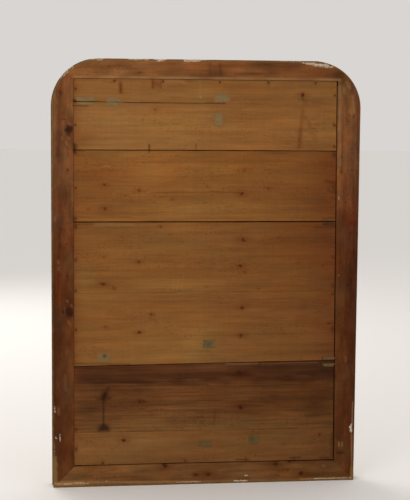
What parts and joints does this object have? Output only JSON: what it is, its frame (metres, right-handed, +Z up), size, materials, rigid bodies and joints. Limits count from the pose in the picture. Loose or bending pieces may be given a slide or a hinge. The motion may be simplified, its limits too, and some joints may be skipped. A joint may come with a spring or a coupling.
{
  "type": "arched mirror",
  "caption": "Tall wall mirror with rounded top corners: gilt moulded front with a beaded slip round the plate, on a stained pine carcass backed with nailed boards.",
  "frame": {"origin": "bottom centre of the whole mirror, halfway through its depth", "axes": "+Z up, the glass faces -Y and the boarded back faces +Y, +X is the left side seen from the back"},
  "size_m": [0.89, 0.055, 1.23],
  "materials": {
    "stained_carcass": "dark stained old pine, waxed by handling",
    "back_boards": "aged raw pine, dry and dusty",
    "gilt_moulding": "gold leaf over red bole and gesso, rubbed at the edges",
    "gilt_slip": "burnished gold leaf over red bole",
    "silvered_glass": "old silvered plate with light foxing at its edges",
    "softwood_blocks": "raw softwood",
    "iron_nails": "rusted iron",
    "paper_tape": "old grey-green gummed tape, torn and dirty"
  },
  "bodies": {
    "root": {"left_stile": "stained_carcass", "right_stile": "stained_carcass", "top_rail": "stained_carcass", "bottom_rail": "stained_carcass", "back_board_1": "back_boards", "back_board_2": "back_boards", "back_board_3": "back_boards", "back_board_4": "back_boards", "back_board_5": "back_boards", "back_board_6": "back_boards", "left_moulding": "gilt_moulding", "right_moulding": "gilt_moulding", "top_moulding": "gilt_moulding", "bottom_moulding": "gilt_moulding", "top_left_corner_moulding": "gilt_moulding", "top_right_corner_moulding": "gilt_moulding", "left_slip": "gilt_slip", "right_slip": "gilt_slip", "top_slip": "gilt_slip", "bottom_slip": "gilt_slip", "top_left_corner_slip": "gilt_slip", "top_right_corner_slip": "gilt_slip", "mirror_glass": "silvered_glass", "glass_blocks": "softwood_blocks", "left_end_nails": "iron_nails", "right_end_nails": "iron_nails", "top_edge_nails": "iron_nails", "bottom_edge_nails": "iron_nails", "tape_patches": "paper_tape"}
  },
  "joints": []
}
